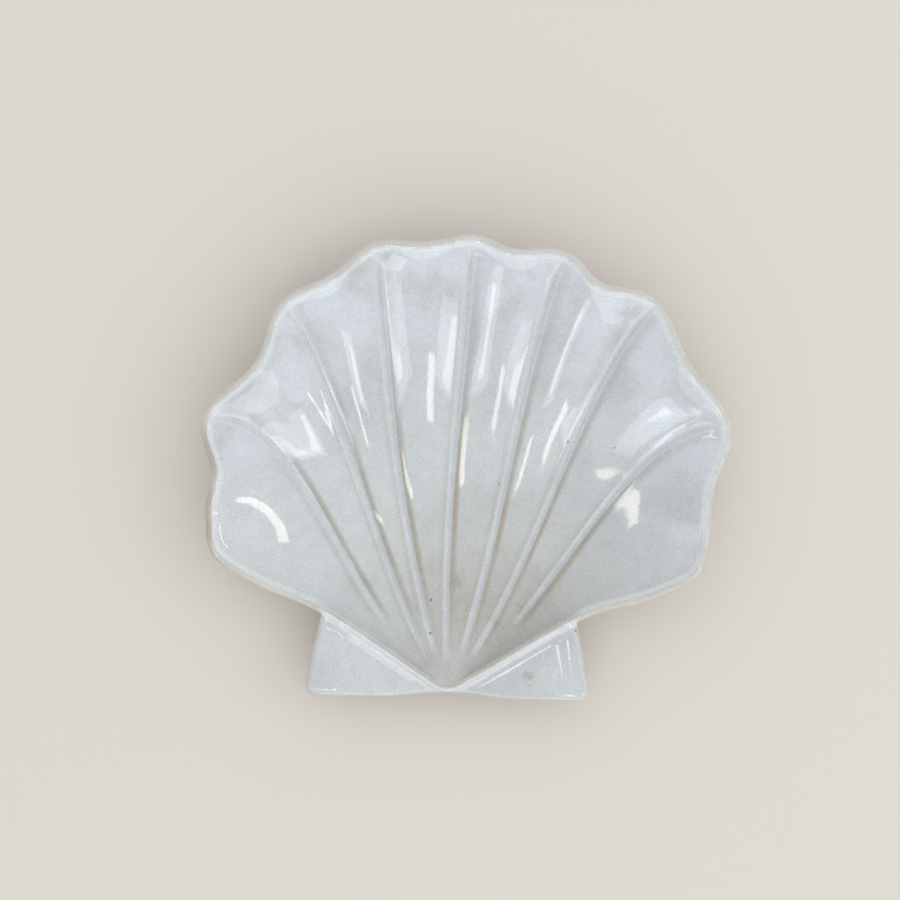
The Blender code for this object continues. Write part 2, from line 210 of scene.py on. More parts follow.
def from_border(plan):
    """How far inside the rim each place is, and the way in from there."""
    nearest = np.array([border_tree.find((*point, 0))[1] for point in plan])
    run = border_run[nearest]
    away = plan - BORDER[nearest]
    shift = np.sum(away * run, axis=1)
    other = (nearest + np.where(shift > 0, 1, -1)) % len(BORDER)
    length = np.linalg.norm(BORDER[other] - BORDER[nearest], axis=1)
    share = np.clip(np.abs(shift) / length, 0, 1)[:, None]
    inward = unit(BORDER_INWARD[nearest] * (1 - share) + BORDER_INWARD[other] * share)
    return np.sum(away * inward, axis=1), inward


round_the_rim = np.sum(np.linalg.norm(np.roll(BORDER, -1, axis=0) - BORDER, axis=1))
print("the lip runs", round(round_the_rim / MM), "mm round the fan")

# %% [markdown]
# ## The bowl's surface
# The clay is flat in the middle and steepens to the rim on every side. Each panel between two grooves swells up
# into the bowl, and neighbours meet in a crease with a narrow groove pressed along it. Writing this as a height
# over the plan keeps every feature in its place, and a grid from `create_grid` only has to be lifted onto it.

# %% Heights of the bowl
WALL = 0.005
FLOOR = 0.008
RIM_HEIGHT = 0.034
HINGE_HEIGHT = 0.024
PANEL_CROWN = 0.0024
CROWN_SPREAD = 1.5
PANEL_FULLNESS = 2.2
GROOVE_WIDTH = 0.0030
GROOVE_DEPTH = 0.0010
RUNOUT_LENGTH = 0.008
LIP_FADE = 0.010
RIM_WALL_START, RIM_WALL_POWER = 0.30, 2.1
HINGE_WALL_END, HINGE_WALL_POWER = 0.42, 2.3
SIDE_WALL_PANELS, SIDE_WALL_POWER = 1.7, 2.2
EDGE_DROP, EDGE_RUN, EDGE_BLEND = 0.004, 0.007, 3.0
LIP_TILT = math.radians(38)
LIP_TILT_REACH = 0.010


def ease(value):
    """From 0 to 1 with a soft start and end."""
    value = np.clip(value, 0, 1)
    return value**2 * (3 - 2 * value)


def wall_share(across, along):
    """0 on the flat floor and 1 at the lip."""
    rim = np.clip((along - RIM_WALL_START) / (1 - RIM_WALL_START), 0, None) ** RIM_WALL_POWER
    hinge = np.clip(1 - along / HINGE_WALL_END, 0, None) ** HINGE_WALL_POWER
    side = np.clip(1 - np.minimum(across, PANELS - across) / SIDE_WALL_PANELS, 0, None) ** SIDE_WALL_POWER
    return 1 - (1 - rim) * (1 - hinge) * (1 - side)


def smooth_surface(across, along):
    """The bowl with rounded folds and no grooves."""
    plan = plan_place(across, along)
    swell = PANEL_CROWN * along**CROWN_SPREAD * swelling(across)
    share = wall_share(across, along)
    crest = HINGE_HEIGHT + (RIM_HEIGHT - HINGE_HEIGHT) * ease(along) + swell
    height = FLOOR + (crest - FLOOR) * share + swell * (1 - share)
    inside = np.clip(from_border(plan)[0], 0, None)
    least = EDGE_DROP * (1 - np.exp(-inside / EDGE_RUN))
    drop = (np.clip(crest - height, 0, None) ** EDGE_BLEND + least**EDGE_BLEND) ** (1 / EDGE_BLEND)
    return np.column_stack([plan, crest - drop])


def surface_normal(across, along):
    """Unit normal up into the bowl, which takes the lip's outward lean at the rim."""
    left = smooth_surface(np.clip(across - SLOPE_STEP, 0, None), along)
    right = smooth_surface(np.clip(across + SLOPE_STEP, None, PANELS), along)
    near = smooth_surface(across, np.clip(along - SLOPE_STEP, 0, None))
    far = smooth_surface(across, np.clip(along + SLOPE_STEP, None, 1))
    normal = unit(np.cross(right - left, far - near))
    inside, inward = from_border(plan_place(across, along))
    lean = np.column_stack([inward * math.sin(LIP_TILT), np.full(len(across), math.cos(LIP_TILT))])
    turn = ease(inside / LIP_TILT_REACH)[:, None]
    return unit(lean * (1 - turn) + normal * turn)


def groove_measure(across, along):
    """Distance from the nearest groove, how strongly it is pressed there, and which side of it this is."""
    index = np.clip(np.round(across).astype(int), 1, PANELS - 1)
    plan = plan_place(across, along)
    apart = np.linalg.norm(plan - plan_place(index.astype(float), along), axis=1)
    strength = ease((np.linalg.norm(plan, axis=1) - RUNOUT[index - 1]) / RUNOUT_LENGTH)
    return apart, strength, np.sign(across - index)


def inside_surface(across, along):
    """The glazed inside: full panels that meet in a crease, with a groove pressed along it."""
    points = smooth_surface(across, along)
    place = across - np.minimum(across.astype(int), PANELS - 1)
    fullness = 1 - np.abs(2 * place - 1) ** PANEL_FULLNESS
    edge = ease(from_border(points[:, :2])[0] / LIP_FADE)
    apart, strength, _ = groove_measure(across, along)
    points[:, 2] += PANEL_CROWN * along**CROWN_SPREAD * (fullness - swelling(across)) * edge
    points[:, 2] -= GROOVE_DEPTH * ease(1 - apart / (GROOVE_WIDTH / 2)) * strength * edge
    return points


# %% [markdown]
# ## From a flat grid to a shell with a lip
# The grid has more columns where a groove or an edge needs them. A second copy of the grid becomes the outside,
# one wall's thickness below. The lip is made as a potter's sponge leaves it: the inside's border is extruded
# ring by ring round a half circle until it meets the outside, and the doubles are merged.

# %% The grid and the two sheets
PANEL_COLUMNS = (28, 15, 13, 13, 13, 13, 15, 28)
GROOVE_COLUMNS = 4
NARROWEST_PANEL = 0.25
END_CROWDING = 1.5
ROWS = 120
RIM_CROWDING = 0.45
WAVE_HEIGHT = 0.00010
WAVE_LENGTH = 0.022

# each column is (panel, side of the panel, share): side -1 and 1 are the halves of the grooves beside it
columns = []
for panel, count in enumerate(PANEL_COLUMNS):
    groove_shares = [step / GROOVE_COLUMNS for step in range(GROOVE_COLUMNS)]
    if panel > 0:
        columns += [(panel, -1, share) for share in groove_shares]
    columns += [(panel, 0, step / count) for step in range(count + 1)]
    if panel < PANELS - 1:
        columns += [(panel, 1, share) for share in reversed(groove_shares[1:])]
COLUMNS = np.array(columns)


def column_places(number, along):
    """Place across the fan of each numbered column, in its row."""
    panel, side, share = COLUMNS[number].T
    panel = panel.astype(int)
    guides = guide_lines(along)
    each = np.arange(len(along))
    width = np.linalg.norm(guides[panel + 2, each] - guides[panel + 1, each], axis=1)
    groove = np.minimum(GROOVE_WIDTH / 2 / width, NARROWEST_PANEL)
    low = np.where(panel > 0, groove, 0)
    high = np.where(panel < PANELS - 1, groove, 0)
    crowded = np.where(panel == 0, share**END_CROWDING, share)
    crowded = np.where(panel == PANELS - 1, 1 - (1 - share) ** END_CROWDING, crowded)
    open_part = low + (1 - low - high) * crowded
    return panel + np.where(side < 0, low * share, np.where(side > 0, 1 - high * share, open_part))


def fan_sheet(mesh):
    """A flat grid, with the place of each of its vertices on the fan."""
    last = len(COLUMNS) - 1
    made = bmesh.ops.create_grid(mesh, x_segments=last, y_segments=ROWS, size=1)["verts"]
    flat = np.array([vertex.co.xy for vertex in made])
    number = np.round((flat[:, 0] + 1) / 2 * last).astype(int)
    row = np.round((flat[:, 1] + 1) / 2 * ROWS) / ROWS
    along = (1 - RIM_CROWDING) * row + RIM_CROWDING * (1 - (1 - row) ** 2)
    return made, column_places(number, along), along


def put(vertices, points):
    """Moves each vertex to its point."""
    for vertex, point in zip(vertices, points):
        vertex.co = point


def copy_of(mesh, vertices):
    """The same sheet again, with its vertices in the same order."""
    made = bmesh.ops.duplicate(mesh, geom=[*mesh.verts, *mesh.edges, *mesh.faces])
    return [made["vert_map"][vertex] for vertex in vertices]


def roll_edge(mesh, vertices, upper, under, outward, steps):
    """Carries a sheet's border round a half circle to the under side, and returns each vertex with its turn."""
    border = {edge for vertex in vertices for edge in vertex.link_edges if edge.is_boundary}
    order = [i for i, vertex in enumerate(vertices) if any(edge in border for edge in vertex.link_edges)]
    half = (upper[order] - under[order]) / 2
    level = outward[order] - half * (np.sum(outward[order] * half, 1) / np.sum(half**2, 1))[:, None]
    bulge = unit(level) * np.linalg.norm(half, axis=1, keepdims=True)
    middle = (upper[order] + under[order]) / 2
    ring = [vertices[i] for i in order]
    edges = list(border)
    turned = []
    for step in range(1, steps + 1):
        made = bmesh.ops.extrude_edge_only(mesh, edges=edges)["geom"]
        fresh = {item for item in made if isinstance(item, bmesh.types.BMVert)}
        edges = [item for item in made if isinstance(item, bmesh.types.BMEdge) and set(item.verts) <= fresh]
        old = set(ring)
        after = {}
        for vertex in fresh:
            for edge in vertex.link_edges:
                if edge.other_vert(vertex) in old:
                    after[edge.other_vert(vertex)] = vertex
        ring = [after[vertex] for vertex in ring]
        turn = math.pi * step / steps
        points = middle + half * math.cos(turn) + bulge * math.sin(turn)
        put(ring, points)
        turned.append((step / steps, order, points))
    return turned


# %% Shape the bowl
LIP_STEPS = 8
WELD = 1e-6

bowl = bmesh.new()
inside, across, along = fan_sheet(bowl)
outside = copy_of(bowl, inside)
inside_points = inside_surface(across, along)
waves = [noise.noise(Vector(point) / WAVE_LENGTH) for point in inside_points]
depth_in, inward = from_border(inside_points[:, :2])
inside_points[:, 2] += WAVE_HEIGHT * np.array(waves) * ease(depth_in / LIP_FADE)
outside_points = smooth_surface(across, along) - surface_normal(across, along) * WALL
put(inside, inside_points)
put(outside, outside_points)
level_out = np.column_stack([-inward, np.zeros(len(inward))])
turned = roll_edge(bowl, inside, inside_points, outside_points, level_out, LIP_STEPS)
bmesh.ops.remove_doubles(bowl, verts=bowl.verts, dist=WELD)
bmesh.ops.recalc_face_normals(bowl, faces=bowl.faces)
print("bowl:", len(bowl.faces), "faces, still open edges:", sum(edge.is_boundary for edge in bowl.edges))

# %% [markdown]
# ## What the glaze follows
# Glaze runs off edges and gathers in hollows while it melts, and the material paints some shade and highlight
# in the same places. It needs to know where those are, so each place on the bowl keeps its distance to the nearest
# groove and to the inner edge of the lip, the side of the groove that it is on, where the painted shade is heavier,
# and its place on the fan. They are written as attributes once the skin is in one piece, together with the
# distances to the seam and the edge of the ears, which are measured there.

# %% Remember the distances
ARC = WALL / 2 * math.pi
POOL_FADE = 0.004
POOL_BEYOND = 0.007
apart, _, side = groove_measure(across, along)
pooled_from = RUNOUT[np.clip(np.round(across).astype(int), 1, PANELS - 1) - 1] - POOL_BEYOND
strength = ease((np.linalg.norm(inside_points[:, :2], axis=1) - pooled_from) / (2 * RUNOUT_LENGTH))
strength *= ease(depth_in / POOL_FADE)
side *= ease(apart / (GROOVE_WIDTH / 2))
known_points = [inside_points, outside_points]
known_groove = [apart, np.full(len(apart), 1.0)]
known_strength = [strength, np.zeros(len(apart))]
known_side = [side, np.zeros(len(apart))]
known_rim = [-depth_in, ARC + depth_in]
known_across = [across, across]
known_along = [along, along]
for turn, order, points in turned[:-1]:
    known_points.append(points)
    known_groove.append(np.full(len(order), 1.0))
    known_strength.append(np.zeros(len(order)))
    known_side.append(np.zeros(len(order)))
    known_rim.append(np.full(len(order), ARC * turn))
    known_across.append(across[order])
    known_along.append(along[order])
known_points = np.vstack(known_points)
known = np.column_stack([
    np.concatenate(values)
    for values in (known_groove, known_strength, known_rim, known_across, known_along, known_side)
])
known_tree = tree_of(known_points)
print("distances kept for", len(known), "places")

# %% [markdown]
# ## Ears and foot
# The ears are one plate that the bowl sits on, with a curled outer edge on each side. It is a grid again, lifted to
# the ears' surface, copied downwards and rolled round its edge. The glaze makes a small fillet where it meets the
# bowl. The foot is a ring between two ellipses, extruded up into the clay, with its lower edges bevelled.

# %% Ear plate
EAR_STEP = 0.0028
EAR_THICKNESS = 0.0055
EAR_HALF_WIDTH = 0.0655
EAR_NECK_HALF_WIDTH = 0.0585
EAR_FRONT = 0.0048
EAR_FRONT_MIDDLE = 0.0020
EAR_BACK = 0.0340
EAR_CORNER = 0.0060
EAR_LIFT = 0.0020
EAR_CURL = 0.0012
EAR_CURL_START = 0.8
EAR_FILLET = 0.0010
EAR_FILLET_REACH = 0.0035
LIP_OVERHANG = 0.0040
EAR_COLUMNS, EAR_ROWS, EAR_EDGE_STEPS = 96, 30, 6


def ear_surface(sideways, back):
    """Top of the ears: sideways runs from 0 to 1 over their width, back from the front edge to the fan."""
    side = np.sin(np.pi * (sideways - 0.5))
    edge = EAR_THICKNESS / 2
    half = EAR_HALF_WIDTH - edge
    corner = EAR_CORNER - edge
    front = EAR_FRONT_MIDDLE + (EAR_FRONT - EAR_FRONT_MIDDLE) * ease(2 * np.abs(side)) - edge
    past = np.clip(np.abs(side) * half - (half - corner), 0, None)
    front -= corner - np.sqrt(np.clip(corner**2 - past**2, 0, None))
    neck = EAR_NECK_HALF_WIDTH - edge
    height = HINGE_HEIGHT - EAR_STEP + EAR_LIFT * np.abs(side)
    height += EAR_CURL * ease((np.abs(side) - EAR_CURL_START) / (1 - EAR_CURL_START))
    plan = np.column_stack([side * (half + (neck - half) * back), -front + (EAR_BACK + front) * back])
    outside_lip = -from_border(plan)[0] - LIP_OVERHANG
    height += EAR_FILLET * ease(1 - outside_lip / EAR_FILLET_REACH)
    return np.column_stack([plan, height])


def ear_outward(sideways, back):
    """Level direction out of the plate's border; a corner takes the mean of its two sides."""
    right = ear_surface(np.clip(sideways + SLOPE_STEP, None, 1), back)
    left = ear_surface(np.clip(sideways - SLOPE_STEP, 0, None), back)
    far = ear_surface(sideways, np.clip(back + SLOPE_STEP, None, 1))
    near = ear_surface(sideways, np.clip(back - SLOPE_STEP, 0, None))
    run = unit(right - left) * ((back < WELD) * 1.0 - (back > 1 - WELD) * 1.0)[:, None]
    run += unit(far - near) * ((sideways > 1 - WELD) * 1.0 - (sideways < WELD) * 1.0)[:, None]
    return np.column_stack([run[:, 1], -run[:, 0], np.zeros(len(run))])


ears = bmesh.new()
top = bmesh.ops.create_grid(ears, x_segments=EAR_COLUMNS, y_segments=EAR_ROWS, size=1)["verts"]
flat = (np.array([vertex.co.xy for vertex in top]) + 1) / 2
bottom = copy_of(ears, top)
ear_top = ear_surface(*flat.T)
ear_bottom = ear_top - (0, 0, EAR_THICKNESS)
put(top, ear_top)
put(bottom, ear_bottom)
ear_rings = roll_edge(ears, top, ear_top, ear_bottom, ear_outward(*flat.T), EAR_EDGE_STEPS)
bmesh.ops.remove_doubles(ears, verts=ears.verts, dist=WELD)
bmesh.ops.recalc_face_normals(ears, faces=ears.faces)
ear_points = np.array([vertex.co for vertex in ears.verts])
ear_rim = ear_rings[EAR_EDGE_STEPS // 2 - 1][2]
ear_rim = ear_rim[ear_rim[:, 1] < EAR_BACK - EAR_THICKNESS]
print("ears:", len(ears.faces), "faces, still open edges:", sum(edge.is_boundary for edge in ears.edges))

# %% Foot ring
FOOT_CENTRE = (0.002, 0.104)
FOOT_HALF_LENGTH = 0.052
FOOT_HALF_DEPTH = 0.042
FOOT_RING_WIDTH = 0.007
FOOT_BEVEL = 0.0008
FOOT_STEPS = 144
SHARP_TURN = math.radians(50)

foot = bmesh.new()
for inset in (0, FOOT_RING_WIDTH):
    loop = bmesh.ops.create_circle(foot, segments=FOOT_STEPS, radius=1)["verts"]
    bmesh.ops.scale(foot, verts=loop, vec=(FOOT_HALF_LENGTH - inset, FOOT_HALF_DEPTH - inset, 1))
    bmesh.ops.translate(foot, verts=loop, vec=(*FOOT_CENTRE, 0))
ring = bmesh.ops.bridge_loops(foot, edges=foot.edges)["faces"]
raised = bmesh.ops.extrude_face_region(foot, geom=ring, use_keep_orig=True)["geom"]
raised = [item for item in raised if isinstance(item, bmesh.types.BMVert)]
bmesh.ops.translate(foot, verts=raised, vec=(0, 0, RIM_HEIGHT))
bmesh.ops.recalc_face_normals(foot, faces=foot.faces)
arrises = [
    edge for edge in foot.edges
    if max(vertex.co.z for vertex in edge.verts) < WELD and edge.calc_face_angle() > SHARP_TURN
]
bmesh.ops.bevel(
    foot, geom=arrises, offset=FOOT_BEVEL, segments=3, profile=0.5, affect="EDGES",
    clamp_overlap=False, material=-1,
)
print("foot ring:", len(foot.faces), "faces")

# %% [markdown]
# ## One piece of clay
# A Boolean joins the bodies, as pressing makes them one. First the space above the middle of the bowl's wall is
# cut out of the plate and the ring, so that nothing pokes through. The Boolean leaves some vertices that only two
# edges meet in. Both faces beside such a vertex can be cut into the same triangle on export, which leaves a
# doubled sliver, so these vertices are dissolved. The seams are then relaxed with `smooth_vert`, which rounds
# their inside corners as a coat of glaze does.

# %% Cut, join and soften
CLEARED_HEIGHT = 0.07


def as_object(mesh, name):
    """Puts a finished bmesh in the scene."""
    data = bpy.data.meshes.new(name)
    mesh.to_mesh(data)
    mesh.free()
    made = bpy.data.objects.new(name, data)
    bpy.context.scene.collection.objects.link(made)
    return made


def in_order(mesh):
    """Sorts a mesh by place, because some operators hand out what they make in another order each run."""
    def corners(item):
        return sorted(vertex.index for vertex in item.verts)

    for items, key in ((mesh.verts, lambda vertex: tuple(vertex.co)), (mesh.edges, corners), (mesh.faces, corners)):
        rank = {item: number for number, item in enumerate(sorted(items, key=key))}
        items.sort(key=rank.get)
        items.index_update()


def boolean(target, other, operation):
    """Adds an exact Boolean to the target."""
    modifier = target.modifiers.new(operation.lower() + " " + other.name, "BOOLEAN")
    modifier.operation = operation
    modifier.object = other
    modifier.solver = "EXACT"


space = bmesh.new()
low_sheet, space_across, space_along = fan_sheet(space)
high_sheet = copy_of(space, low_sheet)
half_way = smooth_surface(space_across, space_along)
half_way -= surface_normal(space_across, space_along) * WALL / 2
put(low_sheet, half_way)
put(high_sheet, half_way * (1, 1, 0) + (0, 0, CLEARED_HEIGHT))
rims = [edge for edge in space.edges if edge.is_boundary]
bmesh.ops.bridge_loops(space, edges=rims)
bmesh.ops.recalc_face_normals(space, faces=space.faces)

for body in (bowl, ears, foot, space):
    in_order(body)
bowl_part = as_object(bowl, "bowl")
ear_part = as_object(ears, "ears")
foot_part = as_object(foot, "foot")
space_part = as_object(space, "bowl_space")
boolean(ear_part, space_part, "DIFFERENCE")
boolean(foot_part, space_part, "DIFFERENCE")
boolean(bowl_part, ear_part, "UNION")
boolean(bowl_part, foot_part, "UNION")
graph = bpy.context.evaluated_depsgraph_get()
skin = bmesh.new()
skin.from_mesh(bpy.data.meshes.new_from_object(bowl_part.evaluated_get(graph)))
for part in (bowl_part, ear_part, foot_part, space_part):
    bpy.data.objects.remove(part)
passing = [vertex for vertex in skin.verts if len(vertex.link_edges) == 2]
bmesh.ops.dissolve_verts(skin, verts=passing)
print("joined skin:", len(skin.faces), "faces, open edges:", sum(edge.is_boundary for edge in skin.edges))
print("vertices with only two edges taken out:", len(passing))

# %% Soften the seams
CORNER_TURN = math.radians(28)
SOFT_REACH = 0.0016
SOFT_ROUNDS = 5
EAR_SEAM_REACH = 0.003
FOOT_SEAM_BAND = (0.78, 1.06)
FOOT_SEAM_TOP = 0.009


ear_tree = tree_of(ear_points)
edge_tree = tree_of(ear_rim)


def by_foot(point):
    """True near the foot ring, whose outer edge is at a ratio of 1."""
    low, high = FOOT_SEAM_BAND
    ratio = math.hypot((point.x - FOOT_CENTRE[0]) / FOOT_HALF_LENGTH, (point.y - FOOT_CENTRE[1]) / FOOT_HALF_DEPTH)
    return low < ratio < high and point.z < FOOT_SEAM_TOP


corners = []
for edge in skin.edges:
    if len(edge.link_faces) == 2 and edge.calc_face_angle_signed() < -CORNER_TURN:
        place = (edge.verts[0].co + edge.verts[1].co) / 2
        if ear_tree.find(place)[2] < EAR_SEAM_REACH or by_foot(place):
            corners.append(place)
corner_tree = tree_of(corners)
near_seam = [vertex for vertex in skin.verts if corner_tree.find(vertex.co)[2] < SOFT_REACH]
for _ in range(SOFT_ROUNDS):
    bmesh.ops.smooth_vert(
        skin, verts=near_seam, factor=0.5, use_axis_x=True, use_axis_y=True, use_axis_z=True,
    )
print("seam corners:", len(corners), "softened vertices:", len(near_seam))

# %% [markdown]
# ## Into the solid's place
# Until now the hinge was the origin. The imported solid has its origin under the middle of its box, so the skin is
# moved there. Its finer curves stand out past the solid's flat facets by up to half a millimetre over the whole
# width, so it is also scaled down onto the solid's box, by less than half a percent.

# %% Place the skin and write its attributes
EAR_TOP_Y = 0.045
EAR_BOTTOM_Z = 0.012
OVER_EARS = (0.0560, 0.0610)

points = np.array([vertex.co for vertex in skin.verts])
nearest = [known_tree.find(point) for point in points]
values = known[[found[1] for found in nearest]]
off_bowl = np.array([found[2] for found in nearest])
off_ears = np.array([ear_tree.find(point)[2] for point in points])
is_ear = (off_ears < off_bowl) * (points[:, 1] < EAR_TOP_Y) * (points[:, 2] > EAR_BOTTOM_Z) * 1.0
seam = -from_border(points[:, :2])[0] - LIP_OVERHANG
ear_edge = np.array([edge_tree.find(point)[2] for point in points])
low_x, high_x = OVER_EARS
over_ears = ease((high_x - np.abs(points[:, 0])) / (high_x - low_x)) * (points[:, 1] < EAR_TOP_Y)

middle_before = (points.min(0) + points.max(0)) / 2
fit = np.minimum(1, np.array(cad_high - cad_low) / (points.max(0) - points.min(0)))
put(skin.verts, (points - middle_before) * fit + np.array((cad_high + cad_low) / 2))
print("fitted by", np.round(fit, 5))

platter = as_object(skin, "glazed_platter")
mesh = platter.data
mesh.shade_smooth()


def store(name, numbers):
    """One number for each vertex, for the material to read."""
    layer = mesh.attributes.new(name, "FLOAT", "POINT")
    layer.data.foreach_set("value", np.ascontiguousarray(numbers, dtype=np.float32))


store("groove_mm", np.clip(values[:, 0] / MM, 0, 20))
store("pressed", values[:, 1] * (1 - is_ear))
store("rim_mm", np.clip(values[:, 2] / MM, -30, 30))
store("ear", is_ear)
store("seam_mm", np.clip(seam / MM, -10, 30))
store("ear_edge_mm", np.clip(ear_edge / MM, 0, 30))
store("over_ears", over_ears)
store("fan_across", values[:, 3])
store("fan_along", values[:, 4])
store("groove_side", values[:, 5])
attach(platter, "root")
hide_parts("shell_platter")
print("platter:", len(mesh.polygons), "faces")

# %% [markdown]
# ## The glaze
# A tin-white gloss glaze over buff stoneware is not one colour. Where it gathers in a groove it turns milky and
# blue, where it runs off an edge the clay shows through as buff, and in between it is faintly mottled. The
# node tree below reads the numbers kept above and mixes those tones, and adds a few placed smudges and pinholes,
# soft streaks down the wall, an uneven gloss and the slight orange peel of a fired surface. It also paints some
# light into the colour: shade on the groove shoulders, a cool sky sheen on the upper walls and highlights on the
# lip.

# %% Node helpers
glaze = bpy.data.materials.new("pale_gloss_glaze")
glaze.use_nodes = True
tree = glaze.node_tree
shader = tree.nodes["Principled BSDF"]


def node(kind, settings=None, **inputs):
    """Adds a node, sets its properties and fills its sockets with numbers or links."""
    made = tree.nodes.new(kind)
    for name, value in (settings or {}).items():
        setattr(made, name, value)
    for name, value in inputs.items():
        numbered = name[0] == "s" and name[1:].isdigit()
        socket = made.inputs[int(name[1:]) if numbered else name.replace("_", " ")]
        if isinstance(value, bpy.types.NodeSocket):
            tree.links.new(value, socket)
        else:
            socket.default_value = value
    return made


def attribute(name):
    """A number kept on the mesh."""
    return node("ShaderNodeAttribute", {"attribute_name": name}).outputs["Fac"]


def math_node(operation, first, second=0.0):
    """One sum of two numbers."""
    return node("ShaderNodeMath", {"operation": operation}, s0=first, s1=second).outputs[0]


def fade(value, start, end):
    """Soft step that is 0 at start and 1 at end."""
    made = node("ShaderNodeMapRange", {"interpolation_type": "SMOOTHSTEP"}, Value=value)
    made.inputs["From Min"].default_value = start
    made.inputs["From Max"].default_value = end
    return made.outputs["Result"]


def fade_out(value, start, end):
    """Soft step that is 1 at start and 0 at end."""
    return math_node("SUBTRACT", 1.0, fade(value, start, end))


def product(*values):
    """All the numbers multiplied."""
    result = values[0]
    for value in values[1:]:
        result = math_node("MULTIPLY", result, value)
    return result


def tint(factor, first, second):
    """Mixes two colours."""
    made = node("ShaderNodeMix", {"data_type": "RGBA"})
    for socket, value in ((made.inputs[0], factor), (made.inputs[6], first), (made.inputs[7], second)):
        if isinstance(value, bpy.types.NodeSocket):
            tree.links.new(value, socket)
        else:
            socket.default_value = value
    return made.outputs[2]


def linear(red, green, blue):
    """A colour as it looks on screen, turned into the linear values that shaders use."""
    channels = [channel / 255 for channel in (red, green, blue)]
    return (*((c / 12.92) if c <= 0.04045 else ((c + 0.055) / 1.055) ** 2.4 for c in channels), 1)


def cloud(scale, detail=3.0, roughness=0.55, vector=None):
    """Soft noise about 0.5, on the piece's own coordinates."""
    return node(
        "ShaderNodeTexNoise", Vector=vector or place_on_piece, Scale=scale, Detail=detail, Roughness=roughness,
    ).outputs["Fac"]


place_on_piece = node("ShaderNodeTexCoord").outputs["Object"]

# %% Body colour of the glaze, with a painted sky sheen on the upper walls
BODY = linear(204, 209, 211)
COOL_SKY_SHEEN = linear(214, 221, 228)
GREY = linear(194, 198, 200)
DULL = linear(197, 199, 197)
THIN = linear(180, 180, 176)
THIN_MIDDLE = (0.015, -0.075, 0.012)

groove_mm, pressed = attribute("groove_mm"), attribute("pressed")
rim_mm, ear = attribute("rim_mm"), attribute("ear")
seam_mm, ear_edge_mm = attribute("seam_mm"), attribute("ear_edge_mm")
over_ears = attribute("over_ears")
fan_across, fan_along = attribute("fan_across"), attribute("fan_along")
groove_side = attribute("groove_side")
bowl_only = fade_out(ear, 0.4, 0.6)

colour = tint(fade(cloud(16.0, 2.0), 0.40, 0.62), BODY, GREY)
# Painted sheen: the upper walls get a cooler, lighter tone, broken up by noise, that stands in for the bright sky
# reflected in them.
sky_sheen_on_walls = product(fade(fan_along, 0.5, 0.95), fade(cloud(40.0, 3.0), 0.3, 0.6), bowl_only)
colour = tint(product(sky_sheen_on_walls, 0.9), colour, COOL_SKY_SHEEN)
reach = node(
    "ShaderNodeVectorMath", {"operation": "DISTANCE"}, s0=place_on_piece, s1=THIN_MIDDLE,
).outputs["Value"]
wandering = math_node("ADD", reach, product(math_node("SUBTRACT", cloud(38.0, 3.0), 0.5), 0.045))
thin_patch = product(fade_out(wandering, 0.014, 0.054), bowl_only)
warmer = product(fade_out(wandering, 0.030, 0.085), bowl_only)
colour = tint(product(warmer, 0.6), colour, DULL)
colour = tint(product(thin_patch, 0.85), colour, THIN)

# %% Grooves, lip and seams
POOLED = linear(208, 215, 219)
SHADE_AND_THIN_GLAZE = linear(170, 171, 166)
BROWN = linear(168, 160, 144)
POOL_AND_SHEEN = linear(217, 222, 226)
PAINTED_SHINE = linear(224, 228, 230)
BUFF = linear(203, 200, 189)
RUST = linear(178, 164, 144)
CREST = linear(182, 172, 158)

along_fan = node("ShaderNodeCombineXYZ", X=product(fan_across, 2.0), Y=product(fan_along, 9.0), Z=0.0).outputs[0]
wider = math_node("ADD", 1.0, product(fade(fan_along, 0.4, 1.0), 0.8))
from_groove = math_node("DIVIDE", groove_mm, wider)
pool = product(fade_out(from_groove, 0.7, 2.0), pressed)
# The groove shoulders are darkened partly because the glaze runs thin there and partly as painted shade. The painted
# shade is heavier on each groove's right-hand side, which faces away from the side light.
shaded_side = math_node("ADD", 0.62, product(groove_side, 0.38))
shaded_thin_shoulder = product(fade(from_groove, 0.9, 2.2), fade_out(from_groove, 2.4, 5.0), pressed, shaded_side)
shaded_thin_shoulder = product(shaded_thin_shoulder, fade(fan_along, 0.05, 0.30))
broken = fade(cloud(1.0, 3.0, 0.6, along_fan), 0.25, 0.60)
low_down = fade_out(fan_along, 0.45, 0.95)
# painted shade and thin glaze on the shoulders, stronger low in the bowl; then brown breaks of thin glaze on the
# same shoulders
colour = tint(product(shaded_thin_shoulder, math_node("ADD", 0.25, product(low_down, 0.55))), colour, SHADE_AND_THIN_GLAZE)
colour = tint(product(shaded_thin_shoulder, broken, fade_out(fan_along, 0.35, 0.75), 0.85), colour, BROWN)
streaks = fade(cloud(1.0, 4.0, 0.65, along_fan), 0.50, 0.70)
colour = tint(product(streaks, thin_patch, 0.45), colour, BROWN)
colour = tint(product(pool, 0.8), colour, POOLED)

uneven = fade(cloud(60.0, 3.0), 0.3, 0.65)
rusty = product(fade(cloud(24.0, 2.0), 0.50, 0.70), fade_out(fan_across, 0.6, 3.0))
rusty = math_node("MAXIMUM", rusty, product(fade_out(fan_across, 0.15, 0.5), fade(fan_along, 0.5, 0.9)))
buff = tint(rusty, BUFF, RUST)
clear_of_ears = math_node("SUBTRACT", 1.0, over_ears)
lip = product(fade(rim_mm, 0.7, 1.7), fade_out(rim_mm, 7.0, 11.0), bowl_only, clear_of_ears)
colour = tint(product(lip, math_node("ADD", product(uneven, 0.35), 0.5)), colour, buff)
ear_rim_thin = product(ear, fade_out(ear_edge_mm, 1.0, 3.0), fade(seam_mm, 1.0, 3.0))
colour = tint(product(ear_rim_thin, math_node("ADD", product(uneven, 0.3), 0.6)), colour, BUFF)

